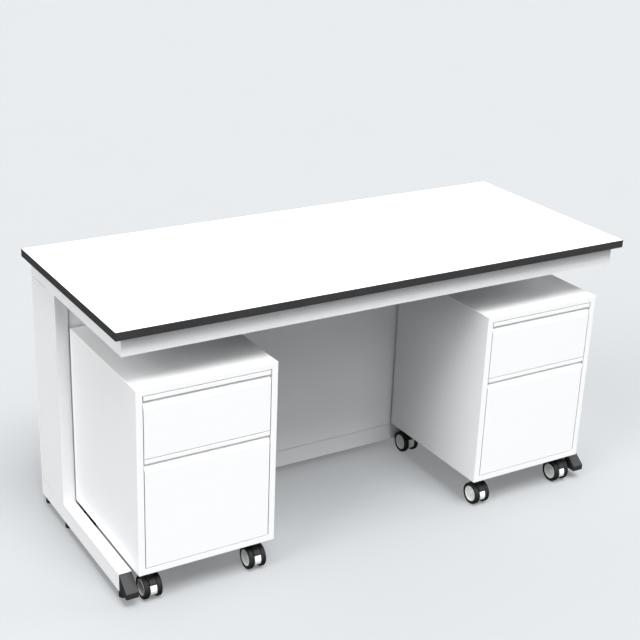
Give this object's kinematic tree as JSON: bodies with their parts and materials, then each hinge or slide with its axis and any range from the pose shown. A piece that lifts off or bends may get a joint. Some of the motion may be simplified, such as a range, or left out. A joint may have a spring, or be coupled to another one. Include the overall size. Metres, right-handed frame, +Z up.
{
  "type": "teacher desk",
  "caption": "White bench-height teacher desk with a dark-edged top on a cantilever steel frame, closed back panel, and mobile drawer pedestals on twin-wheel castors under each end.",
  "frame": {"origin": "on the floor under the centre of the worktop", "axes": "+X along the width to the seated user's right, +Y from the user's side to the back, +Z up"},
  "size_m": [1.8, 0.75, 0.9],
  "materials": {
    "white_coat": "satin white powder coat on steel",
    "white_laminate": "white melamine face on particle board",
    "dark_edging": "dark grey plastic edge band",
    "black_plastic": "moulded near-black plastic",
    "black_tyre": "soft black tread on grey discs",
    "zinc_steel": "zinc-plated sheet steel"
  },
  "bodies": {
    "desk": {"worktop_board": "white_laminate", "edge_band_front": "dark_edging", "edge_band_rear": "dark_edging", "edge_band_left": "dark_edging", "edge_band_right": "dark_edging", "front_rail": "white_coat", "arm_left": "white_coat", "arm_right": "white_coat", "upright_left": "white_coat", "upright_right": "white_coat", "foot_tube_left": "white_coat", "foot_tube_right": "white_coat", "foot_cap_left": "black_plastic", "foot_cap_right": "black_plastic", "rear_top_rail": "white_coat", "lower_rail": "white_coat", "back_panel": "white_laminate", "rear_cover": "white_laminate", "side_cover_left": "white_coat", "side_cover_right": "white_coat"},
    "levelling_foot_left_front": {"levelling_foot_left_front": "black_plastic"},
    "levelling_foot_left_middle": {"levelling_foot_left_middle": "black_plastic"},
    "levelling_foot_left_rear": {"levelling_foot_left_rear": "black_plastic"},
    "levelling_foot_right_front": {"levelling_foot_right_front": "black_plastic"},
    "levelling_foot_right_middle": {"levelling_foot_right_middle": "black_plastic"},
    "levelling_foot_right_rear": {"levelling_foot_right_rear": "black_plastic"},
    "pedestal_left_cabinet": {"pedestal_left_carcass": "white_coat", "pedestal_left_upper_runner_left": "zinc_steel", "pedestal_left_upper_runner_right": "zinc_steel", "pedestal_left_lower_runner_left": "zinc_steel", "pedestal_left_lower_runner_right": "zinc_steel"},
    "pedestal_left_upper_drawer": {"pedestal_left_upper_drawer_front": "white_coat", "pedestal_left_upper_drawer_box": "zinc_steel"},
    "pedestal_left_lower_drawer": {"pedestal_left_lower_drawer_front": "white_coat", "pedestal_left_lower_drawer_box": "zinc_steel"},
    "pedestal_left_castor_front_left_swivel": {"pedestal_left_castor_front_left_housing": "black_plastic"},
    "pedestal_left_castor_front_left_wheelset": {"pedestal_left_castor_front_left_wheels": "black_tyre"},
    "pedestal_left_castor_front_right_swivel": {"pedestal_left_castor_front_right_housing": "black_plastic"},
    "pedestal_left_castor_front_right_wheelset": {"pedestal_left_castor_front_right_wheels": "black_tyre"},
    "pedestal_left_castor_rear_left_swivel": {"pedestal_left_castor_rear_left_housing": "black_plastic"},
    "pedestal_left_castor_rear_left_wheelset": {"pedestal_left_castor_rear_left_wheels": "black_tyre"},
    "pedestal_left_castor_rear_right_swivel": {"pedestal_left_castor_rear_right_housing": "black_plastic"},
    "pedestal_left_castor_rear_right_wheelset": {"pedestal_left_castor_rear_right_wheels": "black_tyre"},
    "pedestal_right_cabinet": {"pedestal_right_carcass": "white_coat", "pedestal_right_upper_runner_left": "zinc_steel", "pedestal_right_upper_runner_right": "zinc_steel", "pedestal_right_lower_runner_left": "zinc_steel", "pedestal_right_lower_runner_right": "zinc_steel"},
    "pedestal_right_upper_drawer": {"pedestal_right_upper_drawer_front": "white_coat", "pedestal_right_upper_drawer_box": "zinc_steel"},
    "pedestal_right_lower_drawer": {"pedestal_right_lower_drawer_front": "white_coat", "pedestal_right_lower_drawer_box": "zinc_steel"},
    "pedestal_right_castor_front_left_swivel": {"pedestal_right_castor_front_left_housing": "black_plastic"},
    "pedestal_right_castor_front_left_wheelset": {"pedestal_right_castor_front_left_wheels": "black_tyre"},
    "pedestal_right_castor_front_right_swivel": {"pedestal_right_castor_front_right_housing": "black_plastic"},
    "pedestal_right_castor_front_right_wheelset": {"pedestal_right_castor_front_right_wheels": "black_tyre"},
    "pedestal_right_castor_rear_left_swivel": {"pedestal_right_castor_rear_left_housing": "black_plastic"},
    "pedestal_right_castor_rear_left_wheelset": {"pedestal_right_castor_rear_left_wheels": "black_tyre"},
    "pedestal_right_castor_rear_right_swivel": {"pedestal_right_castor_rear_right_housing": "black_plastic"},
    "pedestal_right_castor_rear_right_wheelset": {"pedestal_right_castor_rear_right_wheels": "black_tyre"}
  },
  "joints": [
    {"name": "levelling_foot_left_front_screw", "type": "hinge", "parent": "desk", "child": "levelling_foot_left_front", "pos_m": [-0.855, -0.272, 0.034], "axis": [0, 0, 1], "continuous": true},
    {"name": "levelling_foot_left_middle_screw", "type": "hinge", "parent": "desk", "child": "levelling_foot_left_middle", "pos_m": [-0.855, 0.17, 0.034], "axis": [0, 0, 1], "continuous": true},
    {"name": "levelling_foot_left_rear_screw", "type": "hinge", "parent": "desk", "child": "levelling_foot_left_rear", "pos_m": [-0.855, 0.3495, 0.034], "axis": [0, 0, 1], "continuous": true},
    {"name": "levelling_foot_right_front_screw", "type": "hinge", "parent": "desk", "child": "levelling_foot_right_front", "pos_m": [0.855, -0.272, 0.034], "axis": [0, 0, 1], "continuous": true},
    {"name": "levelling_foot_right_middle_screw", "type": "hinge", "parent": "desk", "child": "levelling_foot_right_middle", "pos_m": [0.855, 0.17, 0.034], "axis": [0, 0, 1], "continuous": true},
    {"name": "levelling_foot_right_rear_screw", "type": "hinge", "parent": "desk", "child": "levelling_foot_right_rear", "pos_m": [0.855, 0.3495, 0.034], "axis": [0, 0, 1], "continuous": true},
    {"name": "pedestal_left_roll_out", "type": "slide", "parent": "desk", "child": "pedestal_left_cabinet", "axis": [0, -1, 0], "range_m": [0, 0.6]},
    {"name": "pedestal_left_upper_drawer_slide", "type": "slide", "parent": "pedestal_left_cabinet", "child": "pedestal_left_upper_drawer", "axis": [0, -1, 0], "range_m": [0, 0.34]},
    {"name": "pedestal_left_lower_drawer_slide", "type": "slide", "parent": "pedestal_left_cabinet", "child": "pedestal_left_lower_drawer", "axis": [0, -1, 0], "range_m": [0, 0.34]},
    {"name": "pedestal_left_castor_front_left_swivel", "type": "hinge", "parent": "pedestal_left_cabinet", "child": "pedestal_left_castor_front_left_swivel", "pos_m": [-0.7848, -0.311, 0.105], "axis": [0, 0, 1], "continuous": true},
    {"name": "pedestal_left_castor_front_left_roll", "type": "hinge", "parent": "pedestal_left_castor_front_left_swivel", "child": "pedestal_left_castor_front_left_wheelset", "pos_m": [-0.7848, -0.307, 0.0375], "axis": [1, 0, 0], "continuous": true},
    {"name": "pedestal_left_castor_front_right_swivel", "type": "hinge", "parent": "pedestal_left_cabinet", "child": "pedestal_left_castor_front_right_swivel", "pos_m": [-0.4342, -0.311, 0.105], "axis": [0, 0, 1], "continuous": true},
    {"name": "pedestal_left_castor_front_right_roll", "type": "hinge", "parent": "pedestal_left_castor_front_right_swivel", "child": "pedestal_left_castor_front_right_wheelset", "pos_m": [-0.4342, -0.307, 0.0375], "axis": [1, 0, 0], "continuous": true},
    {"name": "pedestal_left_castor_rear_left_swivel", "type": "hinge", "parent": "pedestal_left_cabinet", "child": "pedestal_left_castor_rear_left_swivel", "pos_m": [-0.7848, 0.113, 0.105], "axis": [0, 0, 1], "continuous": true},
    {"name": "pedestal_left_castor_rear_left_roll", "type": "hinge", "parent": "pedestal_left_castor_rear_left_swivel", "child": "pedestal_left_castor_rear_left_wheelset", "pos_m": [-0.7848, 0.117, 0.0375], "axis": [1, 0, 0], "continuous": true},
    {"name": "pedestal_left_castor_rear_right_swivel", "type": "hinge", "parent": "pedestal_left_cabinet", "child": "pedestal_left_castor_rear_right_swivel", "pos_m": [-0.4342, 0.113, 0.105], "axis": [0, 0, 1], "continuous": true},
    {"name": "pedestal_left_castor_rear_right_roll", "type": "hinge", "parent": "pedestal_left_castor_rear_right_swivel", "child": "pedestal_left_castor_rear_right_wheelset", "pos_m": [-0.4342, 0.117, 0.0375], "axis": [1, 0, 0], "continuous": true},
    {"name": "pedestal_right_roll_out", "type": "slide", "parent": "desk", "child": "pedestal_right_cabinet", "axis": [0, -1, 0], "range_m": [0, 0.6]},
    {"name": "pedestal_right_upper_drawer_slide", "type": "slide", "parent": "pedestal_right_cabinet", "child": "pedestal_right_upper_drawer", "axis": [0, -1, 0], "range_m": [0, 0.34]},
    {"name": "pedestal_right_lower_drawer_slide", "type": "slide", "parent": "pedestal_right_cabinet", "child": "pedestal_right_lower_drawer", "axis": [0, -1, 0], "range_m": [0, 0.34]},
    {"name": "pedestal_right_castor_front_left_swivel", "type": "hinge", "parent": "pedestal_right_cabinet", "child": "pedestal_right_castor_front_left_swivel", "pos_m": [0.4342, -0.311, 0.105], "axis": [0, 0, 1], "continuous": true},
    {"name": "pedestal_right_castor_front_left_roll", "type": "hinge", "parent": "pedestal_right_castor_front_left_swivel", "child": "pedestal_right_castor_front_left_wheelset", "pos_m": [0.4342, -0.307, 0.0375], "axis": [1, 0, 0], "continuous": true},
    {"name": "pedestal_right_castor_front_right_swivel", "type": "hinge", "parent": "pedestal_right_cabinet", "child": "pedestal_right_castor_front_right_swivel", "pos_m": [0.7848, -0.311, 0.105], "axis": [0, 0, 1], "continuous": true},
    {"name": "pedestal_right_castor_front_right_roll", "type": "hinge", "parent": "pedestal_right_castor_front_right_swivel", "child": "pedestal_right_castor_front_right_wheelset", "pos_m": [0.7848, -0.307, 0.0375], "axis": [1, 0, 0], "continuous": true},
    {"name": "pedestal_right_castor_rear_left_swivel", "type": "hinge", "parent": "pedestal_right_cabinet", "child": "pedestal_right_castor_rear_left_swivel", "pos_m": [0.4342, 0.113, 0.105], "axis": [0, 0, 1], "continuous": true},
    {"name": "pedestal_right_castor_rear_left_roll", "type": "hinge", "parent": "pedestal_right_castor_rear_left_swivel", "child": "pedestal_right_castor_rear_left_wheelset", "pos_m": [0.4342, 0.117, 0.0375], "axis": [1, 0, 0], "continuous": true},
    {"name": "pedestal_right_castor_rear_right_swivel", "type": "hinge", "parent": "pedestal_right_cabinet", "child": "pedestal_right_castor_rear_right_swivel", "pos_m": [0.7848, 0.113, 0.105], "axis": [0, 0, 1], "continuous": true},
    {"name": "pedestal_right_castor_rear_right_roll", "type": "hinge", "parent": "pedestal_right_castor_rear_right_swivel", "child": "pedestal_right_castor_rear_right_wheelset", "pos_m": [0.7848, 0.117, 0.0375], "axis": [1, 0, 0], "continuous": true}
  ]
}
